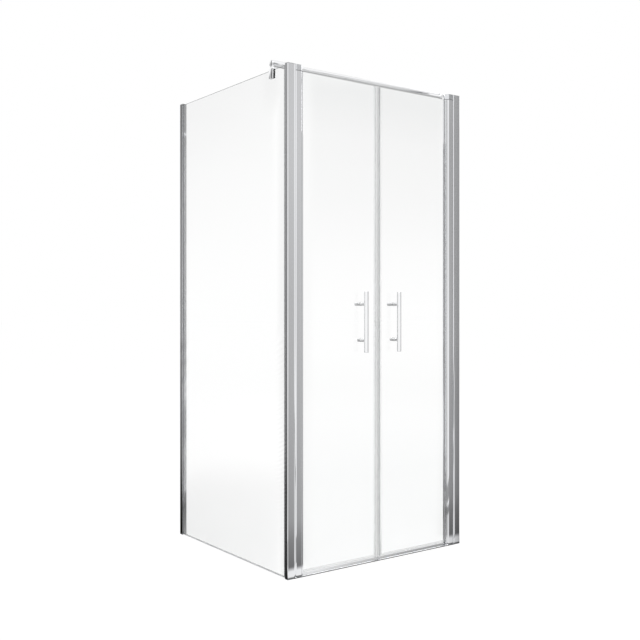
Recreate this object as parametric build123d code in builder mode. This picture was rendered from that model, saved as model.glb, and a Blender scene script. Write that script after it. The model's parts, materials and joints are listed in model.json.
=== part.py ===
"""Corner shower enclosure: a fixed side pane and a front with two pivot doors.

Millimetres, +X to the right along the front, +Y back into the shower, +Z up.
The origin is the middle of the bounding box, on the floor.
Plan positions are written as (a, b): a is the distance in from the outer end
of the front on that side, b the distance behind the front plane.
"""

import os
from math import sqrt

from build123d import *

# Overall size
width = 900.0
depth = 880.0
height = 1950.0

# Clearances
fit_gap = 0.2  # between fixed profiles that slide together
turn_gap = 0.3  # between a turning piece and a fixed one
bore_gap = 0.05  # radial, round a shaft
door_gap = 0.5  # under the doors and over the pivot plates

# Glass and the soft liners that hold it
pane = 6.0
liner = 1.0
liner_proud = 0.6

# Fixed upright profiles
profile_face = 29.0
profile_depth = 36.0
profile_wall = 2.0
profile_edge = 3.0  # rounding of the outer front corner
wall_web = 3.0
cap_thickness = 2.0

# Side pane and its channels
side_pane_centre = 7.0
channel_floor = 7.0
channel_lip = 19.0
side_profile_width = 23.0
side_profile_depth = 24.0
side_glass_edge = 8.0
side_glass_drop = 5.0
side_seal_height = 3.0
side_seal_leg = 6.0

# Jambs that slide in the fixed profiles
jamb_start = 15.0
jamb_reach = 37.5
jamb_setback = 0.4
jamb_curve_start = 30.0
jamb_tip = 1.9
jamb_wall = 2.0

# Fixings
screw_shank = 2.0
screw_head = 4.0
screw_head_height = 2.5
screw_socket = 1.2
screw_length = 6.0
jamb_screw_a = 22.0
jamb_screw_pitch = 820.0
wall_hole = 2.5
wall_hole_pitch = 570.0

# Door pivots
pivot_a = 52.5
pivot_b = 18.0
drum_radius = 20.9
drum_face_setback = 0.5
block_height = 22.0
plate_height = 2.5
plug_height = 16.0
pivot_neck = 13.6
pin_radius = 4.0
pin_length = 24.0

# Hinge profile of each door
nose_end = 75.0
nose_edge = 1.0
swing_gap = 2.5  # beside the jamb when the door stands at a right angle
hinge_wall = 2.2
hinge_bore = 8.5
hinge_boss_wall = 1.8
hinge_channel_start = 63.5
bush_flange = 2.0
bush_length = 26.0

# Meeting seals and door bottom seals
meeting_gap = 0.3
meeting_box = 8.0
meeting_box_half = 5.2
meeting_leg_end = 20.0
seal_wall = 1.2
magnet_wall = 1.0
bottom_seal_leg = 10.0
bottom_seal_gap = 0.9  # beside the nose of the hinge profile
glass_lift = 6.0
seal_lip_gap = 0.5
seal_lip_lean = 2.6

# Threshold rail
rail_height = 5.0
rail_edge = 4.0
rail_bevel = 3.0
rail_groove = 1.5
rail_foot = 6.0

# Handles
handle_inset = 86.0
handle_reach = 36.0
handle_radius = 9.0
handle_length = 244.0
handle_height = 969.0
handle_spacing = 145.0
handle_edge = 1.2
standoff_radius = 7.5
washer_thickness = 1.0
washer_radius = 8.5
stud_radius = 4.0
stud_depth = 14.0
glass_hole = 7.0
knob_length = 34.0
cap_length = 17.0
knob_edge = 2.0

# Stabiliser bar over the doors
bar_b = 116.0
bar_rise = 20.5  # bar centre over the profile tops
bar_radius = 9.5
bar_wall = 1.5
bar_start = 6.0
sleeve_radius = 13.5
sleeve_end = 80.0
sleeve_floor = 5.0
sleeve_edge = 1.5
clamp_width = 16.0
clamp_length = 30.0
clamp_grip = 33.5  # jaws below the top of the side pane
clamp_rise = 7.5  # body above it
clamp_edge = 1.5
clamp_neck = 8.0
clamp_pad_margin = 2.0
clamp_screw = 3.0
clamp_screw_drop = 19.0
flange_radius = 12.5
flange_length = 13.0
flange_floor = 3.0
flange_screw = 2.0

# Derived places
clamp_proud = clamp_width / 2 - side_pane_centre
x_left = -(width - clamp_proud) / 2
x_right = x_left + width
handle_front = handle_reach + handle_radius - pivot_b
y_front = -(depth - handle_front) / 2
y_back = y_front + depth
channel = pane + 2 * liner
channel_outer = side_pane_centre - channel / 2
channel_inner = side_pane_centre + channel / 2
pocket_floor = channel_inner + profile_wall
profile_top = height - cap_thickness
seat_radius = drum_radius + turn_gap
nose_half = pivot_a - jamb_reach - swing_gap
door_low = rail_height + plate_height + door_gap
door_high = height - block_height - door_gap
glass_low = door_low + glass_lift
glass_high = door_high
glass_start = hinge_channel_start + liner
meeting_edge = meeting_gap + meeting_box + seal_wall
handle_a = width / 2 - handle_inset
side_low = side_seal_height
side_high = height - side_glass_drop
bar_height = height + bar_rise
clamp_low = side_high - clamp_grip
clamp_high = side_high + clamp_rise
clamp_screw_height = side_high - clamp_screw_drop
jamb_low = rail_height + fit_gap
plug_start = jamb_start + jamb_wall + fit_gap
plug_end = pivot_a - seat_radius - jamb_wall - fit_gap
plug_side = 2 * profile_wall + 2 * fit_gap


def left(a, b):
    return (x_left + a, y_front + b)


def right(a, b):
    return (x_right - a, y_front + b)


def keep(piece, name):
    piece.part.label = name
    export_step(piece.part, os.path.join("parts", name + ".step"))


# Small shared operations. Each works in the block that calls it.


def slab(at, a0, a1, b0, b1, z0, z1, mode=Mode.ADD):
    """A box between two plan positions, from z0 up to z1."""
    with BuildSketch(Plane.XY.offset(z0)) as face:
        with Locations(at((a0 + a1) / 2, (b0 + b1) / 2)):
            Rectangle(a1 - a0, b1 - b0)
    extrude(face.sketch, amount=z1 - z0, mode=mode)


def upright(section, z0, z1, mode=Mode.ADD):
    """A plan section carried from z0 up to z1."""
    with BuildSketch(Plane.XY.offset(z0)) as face:
        add(section)
    extrude(face.sketch, amount=z1 - z0, mode=mode)


def rod(start, direction, radius, length, mode=Mode.ADD):
    """A round bar from start along direction."""
    with BuildSketch(Plane(origin=start, z_dir=direction)) as face:
        Circle(radius)
    extrude(face.sketch, amount=length, mode=mode)


def socket(start, direction, radius, deep):
    """A six-sided socket sunk into a screw's end."""
    with BuildSketch(Plane(origin=start, z_dir=direction)) as face:
        RegularPolygon(radius, 6)
    extrude(face.sketch, amount=deep, mode=Mode.SUBTRACT)


def outline(at, points):
    """A closed plan shape through the points."""
    with BuildSketch() as face:
        with BuildLine():
            Polyline(*[at(a, b) for a, b in points], close=True)
        make_face()
    return face.sketch


# Plan sections


def round_corner(face, at):
    """Round the outer front corner of a profile or its cap."""
    x, y = at(0, 0)
    fillet(face.vertices().sort_by_distance((x, y, 0))[0], profile_edge)


def post_section():
    """Corner post: side pane channel on the outside, jamb pocket on the inside."""
    d, w, t = profile_depth, profile_face, profile_wall
    with BuildSketch() as face:
        add(
            outline(
                left,
                [
                    (0, 0), (w, 0), (w, t), (pocket_floor, t), (pocket_floor, d - t),
                    (w, d - t), (w, d), (channel_inner, d), (channel_inner, channel_floor),
                    (channel_outer, channel_floor), (channel_outer, channel_lip), (0, channel_lip),
                ],
            )
        )
        round_corner(face, left)
        with Locations(left(channel_inner / 2, channel_floor / 2)):
            Rectangle(channel_inner - 2 * t, channel_floor - 2 * t, mode=Mode.SUBTRACT)
    return face.sketch


def wall_section():
    """Wall profile: a plain channel with its web on the wall."""
    d, w, t = profile_depth, profile_face, profile_wall
    with BuildSketch() as face:
        add(
            outline(
                right,
                [
                    (0, 0), (w, 0), (w, t), (wall_web, t), (wall_web, d - t), (w, d - t),
                    (w, d), (0, d),
                ],
            )
        )
        round_corner(face, right)
    return face.sketch


def side_section():
    """Side wall profile: a channel for the pane and a hollow inner leg."""
    w, d = side_profile_width, depth - side_profile_depth
    with BuildSketch() as face:
        add(
            outline(
                left,
                [
                    (0, d), (channel_outer, d), (channel_outer, depth - wall_web),
                    (channel_inner, depth - wall_web), (channel_inner, d), (w, d), (w, depth),
                    (0, depth),
                ],
            )
        )
        with Locations(left((channel_inner + w) / 2, depth - side_profile_depth / 2)):
            Rectangle(
                w - channel_inner - 2 * profile_wall + 0.4,
                side_profile_depth - 2 * profile_wall,
                mode=Mode.SUBTRACT,
            )
    return face.sketch


def jamb_section(at):
    """Jamb: a box that slides in its profile and a nose hollowed round the pivot."""
    d, nose = profile_depth, profile_face + fit_gap
    low, high = profile_wall + fit_gap, profile_depth - profile_wall - fit_gap
    front, back = jamb_setback, profile_depth - jamb_setback
    middle = (jamb_curve_start + jamb_reach) / 2
    sag = jamb_setback + 0.4 * (jamb_tip - jamb_setback)
    with BuildSketch() as face:
        with BuildLine():
            ThreePointArc(at(jamb_curve_start, front), at(middle, sag), at(jamb_reach, jamb_tip))
            Line(at(jamb_reach, jamb_tip), at(jamb_reach, d - jamb_tip))
            ThreePointArc(
                at(jamb_reach, d - jamb_tip), at(middle, d - sag), at(jamb_curve_start, back)
            )
            Polyline(
                at(jamb_curve_start, back), at(nose, back), at(nose, high), at(jamb_start, high),
                at(jamb_start, low), at(nose, low), at(nose, front), at(jamb_curve_start, front),
            )
        make_face()
        with Locations(at(pivot_a, pivot_b)):
            Circle(seat_radius, mode=Mode.SUBTRACT)
        hollow_end = pivot_a - seat_radius - jamb_wall
        with Locations(at((jamb_start + jamb_wall + hollow_end) / 2, d / 2)):
            Rectangle(
                hollow_end - jamb_start - jamb_wall, high - low - 2 * jamb_wall, mode=Mode.SUBTRACT
            )
    return face.sketch


def drum_section(at):
    """Round pivot outline, cut flat at the front and back."""
    with BuildSketch() as face:
        with Locations(at(pivot_a, pivot_b)):
            Circle(drum_radius)
            Rectangle(
                2 * drum_radius, profile_depth - 2 * drum_face_setback, mode=Mode.INTERSECT
            )
    return face.sketch


def hinge_outline(at):
    """Hinge profile outline: the drum with a nose that takes the door glass.

    The nose is slim enough to pass the jamb when the door is wide open.
    """
    b0, b1 = pivot_b - nose_half, pivot_b + nose_half
    with BuildSketch() as face:
        add(drum_section(at))
        add(
            outline(
                at,
                [
                    (pivot_a, b0), (nose_end - nose_edge, b0), (nose_end, b0 + nose_edge),
                    (nose_end, b1 - nose_edge), (nose_end - nose_edge, b1), (pivot_a, b1),
                ],
            )
        )
    return face.sketch


def hinge_section(at):
    """Hinge profile: thin walls round a pivot bore, a glass channel and side chambers."""
    boss = hinge_bore + hinge_boss_wall
    with BuildSketch() as chambers:
        add(hinge_outline(at))
        offset(amount=-hinge_wall, kind=Kind.INTERSECTION, mode=Mode.REPLACE)
        with Locations(at(pivot_a, pivot_b)):
            Circle(boss, mode=Mode.SUBTRACT)
        with Locations(at((pivot_a + nose_end) / 2, pivot_b)):
            Rectangle(nose_end - pivot_a, channel + 2 * hinge_wall, mode=Mode.SUBTRACT)
        with Locations(at((pivot_a - drum_radius + pivot_a) / 2, pivot_b)):
            Rectangle(drum_radius, 2 * hinge_wall, mode=Mode.SUBTRACT)
    with BuildSketch() as face:
        add(hinge_outline(at))
        add(chambers.sketch, mode=Mode.SUBTRACT)
        with Locations(at(pivot_a, pivot_b)):
            Circle(hinge_bore, mode=Mode.SUBTRACT)
        with Locations(at((hinge_channel_start + nose_end) / 2, pivot_b)):
            Rectangle(nose_end - hinge_channel_start, channel, mode=Mode.SUBTRACT)
    return face.sketch


def cap_section(at, inner):
    """Cap over a fixed profile and its jamb, cut round the pivot."""
    with BuildSketch() as face:
        add(outline(at, inner))
        round_corner(face, at)
        with Locations(at((profile_face + jamb_reach) / 2, profile_depth / 2)):
            Rectangle(jamb_reach - profile_face, profile_depth - 2 * jamb_tip)
        with Locations(at(pivot_a, pivot_b)):
            Circle(seat_radius, mode=Mode.SUBTRACT)
    return face.sketch


# Fixed frame


def jamb_screw_heights():
    return [height / 2 + i * jamb_screw_pitch for i in (-1, 0, 1)]


def wall_hole_heights():
    return [height / 2 + i * wall_hole_pitch / 2 for i in (-3, -1, 1, 3)]


def make_corner_post():
    with BuildPart() as corner_post:
        upright(post_section(), 0, profile_top)
        for z in jamb_screw_heights():
            start = (*left(jamb_screw_a, profile_depth - 2 * profile_wall), z)
            rod(start, (0, 1, 0), screw_shank + bore_gap, 3 * profile_wall, Mode.SUBTRACT)
    keep(corner_post, "corner_post")
    with BuildPart() as corner_post_cap:
        upright(
            cap_section(
                left,
                [
                    (0, 0), (profile_face, 0), (profile_face, profile_depth),
                    (channel_inner, profile_depth), (channel_inner, channel_lip), (0, channel_lip),
                ],
            ),
            profile_top,
            height,
        )
    keep(corner_post_cap, "corner_post_cap")


def make_wall_profile():
    with BuildPart() as wall_profile:
        upright(wall_section(), 0, profile_top)
        for z in jamb_screw_heights():
            start = (*right(jamb_screw_a, profile_depth - 2 * profile_wall), z)
            rod(start, (0, 1, 0), screw_shank + bore_gap, 3 * profile_wall, Mode.SUBTRACT)
        for z in wall_hole_heights():
            start = (*right(2 * wall_web, profile_depth / 2), z)
            rod(start, (1, 0, 0), wall_hole, 3 * wall_web, Mode.SUBTRACT)
    keep(wall_profile, "wall_profile")
    with BuildPart() as wall_profile_cap:
        upright(
            cap_section(
                right,
                [(0, 0), (profile_face, 0), (profile_face, profile_depth), (0, profile_depth)],
            ),
            profile_top,
            height,
        )
    keep(wall_profile_cap, "wall_profile_cap")


def make_side_wall_profile():
    with BuildPart() as side_wall_profile:
        upright(side_section(), 0, profile_top)
        for z in wall_hole_heights():
            start = (*left(side_pane_centre, depth - 2 * wall_web), z)
            rod(start, (0, 1, 0), wall_hole, 3 * wall_web, Mode.SUBTRACT)
    keep(side_wall_profile, "side_wall_profile")
    with BuildPart() as side_wall_profile_cap:
        slab(
            left, 0, side_profile_width, depth - side_profile_depth, depth, profile_top, height
        )
    keep(side_wall_profile_cap, "side_wall_profile_cap")


def make_side_pane():
    glass_front = channel_floor + liner
    glass_back = depth - side_glass_edge
    a0, a1 = side_pane_centre - pane / 2, side_pane_centre + pane / 2
    with BuildPart() as side_glass:
        slab(left, a0, a1, glass_front, glass_back, side_low, side_high)
    keep(side_glass, "side_glass")
    with BuildPart() as side_front_liner:
        slab(
            left, channel_outer, channel_inner, channel_floor, channel_lip + liner_proud,
            side_low, side_high,
        )
        slab(left, a0, a1, glass_front, glass_front + depth, side_low, side_high, Mode.SUBTRACT)
    keep(side_front_liner, "side_front_liner")
    with BuildPart() as side_back_liner:
        slab(
            left, channel_outer, channel_inner, depth - side_profile_depth - liner_proud,
            glass_back + liner, side_low, side_high,
        )
        slab(left, a0, a1, glass_back - depth, glass_back, side_low, side_high, Mode.SUBTRACT)
    keep(side_back_liner, "side_back_liner")
    front = channel_lip + liner_proud + fit_gap
    back = depth - side_profile_depth - liner_proud - fit_gap
    with BuildPart() as side_bottom_seal:
        slab(left, a0 - liner, a1 + liner, front, back, 0, side_low + side_seal_leg)
        slab(left, a0, a1, front, back, side_low, height, Mode.SUBTRACT)
    keep(side_bottom_seal, "side_bottom_seal")


def make_jamb(side, at):
    notch_half = pivot_neck / 2 + fit_gap
    wall_start = pivot_a - seat_radius - jamb_wall - fit_gap
    with BuildPart() as jamb:
        upright(jamb_section(at), jamb_low, profile_top)
        for z0, z1 in (
            (height - block_height - fit_gap, height),
            (0, rail_height + plate_height + fit_gap),
        ):
            slab(
                at, wall_start, pivot_a, pivot_b - notch_half, pivot_b + notch_half,
                z0, z1, Mode.SUBTRACT,
            )
        for z in jamb_screw_heights():
            start = (*at(jamb_screw_a, profile_depth - 4 * profile_wall), z)
            rod(start, (0, 1, 0), screw_shank + bore_gap, 4 * profile_wall, Mode.SUBTRACT)
    keep(jamb, side + "_jamb")
    with BuildPart() as screws:
        for z in jamb_screw_heights():
            start = (*at(jamb_screw_a, profile_depth), z)
            rod(start, (0, 1, 0), screw_head, screw_head_height)
            rod(start, (0, -1, 0), screw_shank, screw_length)
            end = (*at(jamb_screw_a, profile_depth + screw_head_height), z)
            socket(end, (0, -1, 0), screw_head / 2, screw_socket)
    keep(screws, side + "_jamb_screws")


def make_pivot(side, at, where):
    """A pivot: the drum outline, a neck through the jamb, a plug inside it and the pin."""
    top = where == "top"
    low = height - block_height if top else rail_height
    high = profile_top if top else rail_height + plate_height
    half = profile_depth / 2 - plug_side
    pin_low = low - pin_length if top else high
    with BuildPart() as pivot:
        upright(drum_section(at), low, height if top else high)
        slab(
            at, plug_end - fit_gap, pivot_a, pivot_b - pivot_neck / 2, pivot_b + pivot_neck / 2,
            low, high,
        )
        slab(
            at, plug_start, plug_end, pivot_b - half, pivot_b + half,
            low, high if top else low + plug_height,
        )
        rod((*at(pivot_a, pivot_b), pin_low), (0, 0, 1), pin_radius, pin_length)
    keep(pivot, side + "_pivot_" + where)


def make_threshold():
    """Low rail across the doorway, bevelled on top and grooved underneath."""
    start = profile_face + fit_gap
    with BuildPart() as threshold_rail:
        with BuildSketch(Plane((x_left + start, y_front, 0), (0, 1, 0), (1, 0, 0))) as face:
            with BuildLine():
                Polyline(
                    (0, 0), (rail_foot, 0), (rail_foot, rail_groove),
                    (profile_depth - rail_foot, rail_groove), (profile_depth - rail_foot, 0),
                    (profile_depth, 0), (profile_depth, rail_edge),
                    (profile_depth - rail_bevel, rail_height), (rail_bevel, rail_height),
                    (0, rail_edge), close=True,
                )
            make_face()
        extrude(amount=width - 2 * start)
    keep(threshold_rail, "threshold_rail")


def make_stabiliser():
    y, z = y_front + bar_b, bar_height
    flange_start = x_right - flange_length
    with BuildPart() as stabiliser_bar:
        begin, end = x_left + bar_start, x_right - flange_floor
        rod((begin, y, z), (1, 0, 0), bar_radius, end - begin)
        rod((begin, y, z), (1, 0, 0), bar_radius - bar_wall, end - begin, Mode.SUBTRACT)
    keep(stabiliser_bar, "stabiliser_bar")

    with BuildPart() as stabiliser_sleeve:
        begin, end = x_left - clamp_proud, x_left + sleeve_end
        rod((begin, y, z), (1, 0, 0), sleeve_radius, end - begin)
        fillet(stabiliser_sleeve.edges().group_by(Axis.X)[0], sleeve_edge)
        rod(
            (x_left + sleeve_floor, y, z), (1, 0, 0), bar_radius + bore_gap, sleeve_end,
            Mode.SUBTRACT,
        )
    keep(stabiliser_sleeve, "stabiliser_sleeve")

    pad_out = pane / 2 + liner
    b0, b1 = bar_b - clamp_length / 2, bar_b + clamp_length / 2
    with BuildPart() as stabiliser_clamp:
        slab(
            left, side_pane_centre - clamp_width / 2, side_pane_centre + clamp_width / 2,
            b0, b1, clamp_low, clamp_high,
        )
        fillet(stabiliser_clamp.edges().filter_by(Axis.Z), clamp_edge)
        slab(
            left, side_pane_centre - pad_out, side_pane_centre + pad_out, b0, b1,
            clamp_low, side_high + liner, Mode.SUBTRACT,
        )
        rod(
            (*left(side_pane_centre, bar_b), clamp_high - clamp_edge), (0, 0, 1), clamp_neck,
            z - clamp_high + clamp_edge,
        )
        rod(
            (x_left - depth / 2, y, z), (1, 0, 0), sleeve_radius + bore_gap, depth, Mode.SUBTRACT
        )
        rod(
            (*left(side_pane_centre + pane / 2, bar_b), clamp_screw_height), (1, 0, 0),
            clamp_screw + bore_gap, clamp_width, Mode.SUBTRACT,
        )
    keep(stabiliser_clamp, "stabiliser_clamp")

    with BuildPart() as clamp_pads:
        for s in (-1, 1):
            inner, outer = sorted(
                (side_pane_centre + s * pane / 2, side_pane_centre + s * pad_out)
            )
            slab(
                left, inner, outer, b0 + clamp_pad_margin, b1 - clamp_pad_margin,
                clamp_low + clamp_pad_margin, side_high,
            )
    keep(clamp_pads, "clamp_pads")

    with BuildPart() as clamp_grub_screw:
        start = side_pane_centre + pad_out
        length = clamp_width / 2 - pad_out - fit_gap
        rod((*left(start, bar_b), clamp_screw_height), (1, 0, 0), clamp_screw, length)
        socket(
            (*left(start + length, bar_b), clamp_screw_height), (-1, 0, 0), clamp_screw / 2,
            length / 2,
        )
    keep(clamp_grub_screw, "clamp_grub_screw")

    screw_x = flange_start + flange_length / 3
    with BuildPart() as stabiliser_flange:
        rod((flange_start, y, z), (1, 0, 0), flange_radius, flange_length)
        fillet(stabiliser_flange.edges().group_by(Axis.X)[0], (flange_radius - bar_radius) / 3)
        rod(
            (flange_start - width, y, z), (1, 0, 0), bar_radius + bore_gap,
            width + flange_length - flange_floor, Mode.SUBTRACT,
        )
        rod(
            (screw_x, y, z), (0, 0, -1), flange_screw + bore_gap, 2 * flange_radius,
            Mode.SUBTRACT,
        )
    keep(stabiliser_flange, "stabiliser_flange")
    with BuildPart() as flange_grub_screw:
        tip = bar_radius + 2 * bore_gap
        length = sqrt(flange_radius**2 - flange_screw**2) - tip
        rod((screw_x, y, z - tip), (0, 0, -1), flange_screw, length)
        socket((screw_x, y, z - tip - length), (0, 0, 1), flange_screw / 2, length / 2)
    keep(flange_grub_screw, "flange_grub_screw")


# Doors


def make_hinge(side, at):
    with BuildPart() as hinge_profile:
        upright(hinge_section(at), door_low + bush_flange, door_high - bush_flange)
    keep(hinge_profile, side + "_hinge_profile")
    for name, z, up in (("bottom", door_low, 1), ("top", door_high, -1)):
        face = min(z, z + up * bush_flange)
        stem = min(z, z + up * bush_length)
        with BuildPart() as bush:
            upright(hinge_outline(at), face, face + bush_flange)
            slab(
                at, hinge_channel_start, nose_end, pivot_b - channel / 2,
                pivot_b + channel / 2, face, face + bush_flange, Mode.SUBTRACT,
            )
            rod(
                (*at(pivot_a, pivot_b), stem), (0, 0, 1), hinge_bore - bore_gap, bush_length
            )
            rod(
                (*at(pivot_a, pivot_b), stem), (0, 0, 1), pin_radius + bore_gap, bush_length,
                Mode.SUBTRACT,
            )
        keep(bush, side + "_hinge_bush_" + name)


def handle_heights():
    return {
        "upper": handle_height + handle_spacing / 2,
        "lower": handle_height - handle_spacing / 2,
    }


def make_door_pane(side, at):
    b0, b1 = pivot_b - pane / 2, pivot_b + pane / 2
    with BuildPart() as door_glass:
        slab(at, glass_start, width / 2 - meeting_edge, b0, b1, glass_low, glass_high)
        for z in handle_heights().values():
            rod((*at(handle_a, b0 - pane), z), (0, 1, 0), glass_hole, 3 * pane, Mode.SUBTRACT)
    keep(door_glass, side + "_door_glass")
    with BuildPart() as glass_liner:
        slab(
            at, hinge_channel_start, nose_end + liner_proud, b0 - liner, b1 + liner,
            glass_low, glass_high,
        )
        slab(at, glass_start, width, b0, b1, glass_low, glass_high, Mode.SUBTRACT)
    keep(glass_liner, side + "_glass_liner")


def make_seals(side, at):
    centre = width / 2
    box_in = meeting_gap + meeting_box
    leg_half = pane / 2 + seal_wall
    pocket = (meeting_gap + magnet_wall, box_in - magnet_wall)
    pocket_half = meeting_box_half - magnet_wall
    with BuildPart() as meeting_seal:
        slab(
            at, centre - box_in, centre - meeting_gap, pivot_b - meeting_box_half,
            pivot_b + meeting_box_half, door_low, door_high,
        )
        slab(
            at, centre - meeting_leg_end, centre - box_in, pivot_b - leg_half,
            pivot_b + leg_half, door_low, door_high,
        )
        slab(
            at, centre - meeting_leg_end, centre - meeting_edge, pivot_b - pane / 2,
            pivot_b + pane / 2, door_low, door_high, Mode.SUBTRACT,
        )
        slab(
            at, centre - pocket[1], centre - pocket[0], pivot_b - pocket_half,
            pivot_b + pocket_half, door_low, door_high, Mode.SUBTRACT,
        )
    keep(meeting_seal, side + "_meeting_seal")
    with BuildPart() as magnet_strip:
        slab(
            at, centre - pocket[1] + bore_gap, centre - pocket[0] - bore_gap,
            pivot_b - pocket_half + bore_gap, pivot_b + pocket_half - bore_gap,
            door_low, door_high,
        )
    keep(magnet_strip, side + "_magnet_strip")

    begin, end = nose_end + liner_proud + bottom_seal_gap, centre - meeting_leg_end - door_gap
    corner = at(end if side == "right" else begin, 0)
    tip = rail_height + seal_lip_gap
    floor = glass_low - seal_wall
    with BuildPart() as bottom_seal:
        with BuildSketch(Plane((corner[0], corner[1], 0), (0, 1, 0), (1, 0, 0))) as face:
            with BuildLine():
                Polyline(
                    (pivot_b - leg_half, floor), (pivot_b, floor),
                    (pivot_b + seal_lip_lean, tip),
                    (pivot_b + seal_lip_lean + seal_wall, tip),
                    (pivot_b + 1.5 * seal_wall, floor), (pivot_b + leg_half, floor),
                    (pivot_b + leg_half, floor + bottom_seal_leg),
                    (pivot_b + pane / 2, floor + bottom_seal_leg),
                    (pivot_b + pane / 2, glass_low), (pivot_b - pane / 2, glass_low),
                    (pivot_b - pane / 2, floor + bottom_seal_leg),
                    (pivot_b - leg_half, floor + bottom_seal_leg), close=True,
                )
            make_face()
        extrude(amount=end - begin)
    keep(bottom_seal, side + "_bottom_seal")


def make_handle(side, at):
    bar_at = pivot_b - handle_reach
    face_out = pivot_b - pane / 2
    face_in = pivot_b + pane / 2
    with BuildPart() as handle_bar:
        rod(
            (*at(handle_a, bar_at), handle_height - handle_length / 2), (0, 0, 1),
            handle_radius, handle_length,
        )
        fillet(handle_bar.edges().filter_by(GeomType.CIRCLE), handle_edge)
    keep(handle_bar, side + "_handle_bar")

    for name, z in handle_heights().items():
        with BuildPart() as standoff:
            rod(
                (*at(handle_a, bar_at), z), (0, 1, 0), standoff_radius,
                face_out - washer_thickness - bar_at,
            )
            rod(
                (*at(handle_a, bar_at), z - handle_length), (0, 0, 1), handle_radius,
                2 * handle_length, Mode.SUBTRACT,
            )
            rod(
                (*at(handle_a, face_out - washer_thickness), z), (0, -1, 0),
                stud_radius + bore_gap, stud_depth, Mode.SUBTRACT,
            )
        keep(standoff, side + "_handle_standoff_" + name)

        length = knob_length if name == "upper" else cap_length
        with BuildPart() as inside_piece:
            rod(
                (*at(handle_a, face_in + washer_thickness), z), (0, 1, 0), standoff_radius,
                length - washer_thickness,
            )
            fillet(inside_piece.edges().group_by(Axis.Y)[-1], knob_edge)
            rod(
                (*at(handle_a, face_in + washer_thickness), z), (0, 1, 0),
                stud_radius + bore_gap, stud_depth, Mode.SUBTRACT,
            )
        keep(inside_piece, side + ("_inner_knob" if name == "upper" else "_inner_cap"))

    with BuildPart() as washers:
        for z in handle_heights().values():
            for b in (face_out - washer_thickness, face_in):
                rod((*at(handle_a, b), z), (0, 1, 0), washer_radius, washer_thickness)
                rod(
                    (*at(handle_a, b), z), (0, 1, 0), stud_radius + bore_gap,
                    washer_thickness, Mode.SUBTRACT,
                )
    keep(washers, side + "_handle_washers")
    with BuildPart() as studs:
        reach = stud_depth - fit_gap
        for z in handle_heights().values():
            rod(
                (*at(handle_a, face_out - washer_thickness - reach), z), (0, 1, 0),
                stud_radius, pane + 2 * washer_thickness + 2 * reach,
            )
    keep(studs, side + "_handle_studs")


def main():
    os.makedirs("parts", exist_ok=True)
    make_corner_post()
    make_wall_profile()
    make_side_wall_profile()
    make_side_pane()
    make_threshold()
    make_stabiliser()
    for side, at in (("left", left), ("right", right)):
        make_jamb(side, at)
        for where in ("top", "bottom"):
            make_pivot(side, at, where)
        make_hinge(side, at)
        make_door_pane(side, at)
        make_seals(side, at)
        make_handle(side, at)
    bodies = len([f for f in os.listdir("parts") if f.endswith(".step")])
    print("origin at plan middle; front plane y", round(y_front, 3), "back", round(y_back, 3))
    print("pivot axes x", x_left + pivot_a, x_right - pivot_a, "y", y_front + pivot_b)
    print("door z", door_low, door_high, "pieces", bodies)


main()
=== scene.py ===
# %% [markdown]
# # A corner shower with two pivot doors
#
# The real thing is almost nothing but glass and reflections: three panes of
# clear glass, slim bright profiles and a little chrome. The measured solids
# already carry the right shapes and sizes. This lesson loads them, sets up a
# camera and a white studio, gives every part its finish, and makes the small
# turned and rounded fittings again as smooth surfaces.

import json
import math

import bmesh
import bpy
import numpy as np
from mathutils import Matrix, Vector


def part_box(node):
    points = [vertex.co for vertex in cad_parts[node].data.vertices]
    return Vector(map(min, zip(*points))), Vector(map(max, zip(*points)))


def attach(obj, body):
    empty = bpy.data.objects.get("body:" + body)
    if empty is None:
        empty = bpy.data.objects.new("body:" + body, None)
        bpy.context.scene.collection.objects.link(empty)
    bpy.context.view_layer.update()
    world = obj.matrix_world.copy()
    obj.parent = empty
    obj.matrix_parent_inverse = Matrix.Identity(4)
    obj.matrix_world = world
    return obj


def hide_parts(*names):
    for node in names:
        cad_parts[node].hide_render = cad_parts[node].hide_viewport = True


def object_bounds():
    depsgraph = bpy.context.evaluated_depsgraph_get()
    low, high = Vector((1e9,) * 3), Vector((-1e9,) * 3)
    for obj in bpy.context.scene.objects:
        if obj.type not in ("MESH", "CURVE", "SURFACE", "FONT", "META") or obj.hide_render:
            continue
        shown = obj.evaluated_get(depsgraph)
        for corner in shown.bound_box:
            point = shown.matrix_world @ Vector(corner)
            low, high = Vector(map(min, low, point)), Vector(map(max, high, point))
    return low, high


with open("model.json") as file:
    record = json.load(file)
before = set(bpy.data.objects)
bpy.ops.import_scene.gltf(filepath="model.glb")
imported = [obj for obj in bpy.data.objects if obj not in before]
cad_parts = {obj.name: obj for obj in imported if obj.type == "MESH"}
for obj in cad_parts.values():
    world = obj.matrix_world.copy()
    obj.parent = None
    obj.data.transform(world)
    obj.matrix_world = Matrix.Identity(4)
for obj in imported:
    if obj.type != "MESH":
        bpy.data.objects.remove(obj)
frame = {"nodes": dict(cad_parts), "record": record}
nodes = frame["nodes"]
cad_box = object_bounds()

# %% [markdown]
# ## The camera
#
# The picture was taken level, at about eye height, from the front left. A
# camera that stays level keeps every upright line upright, and a small lens
# shift slides the picture without tilting it. The place below comes from
# fitting the edges of the object, so the whole frame lands where it should.

# %% Camera
FRONT_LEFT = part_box("corner_post")[0]
EYE_AWAY = (-1.8786, -2.8203)
EYE_HEIGHT = 1.0170
EYE = (FRONT_LEFT[0] + EYE_AWAY[0], FRONT_LEFT[1] + EYE_AWAY[1], EYE_HEIGHT)
CAMERA_TURN = math.radians(36.83)
CAMERA_LENS = 50.60
CAMERA_SHIFT = (-0.0272, -0.0156)

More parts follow.
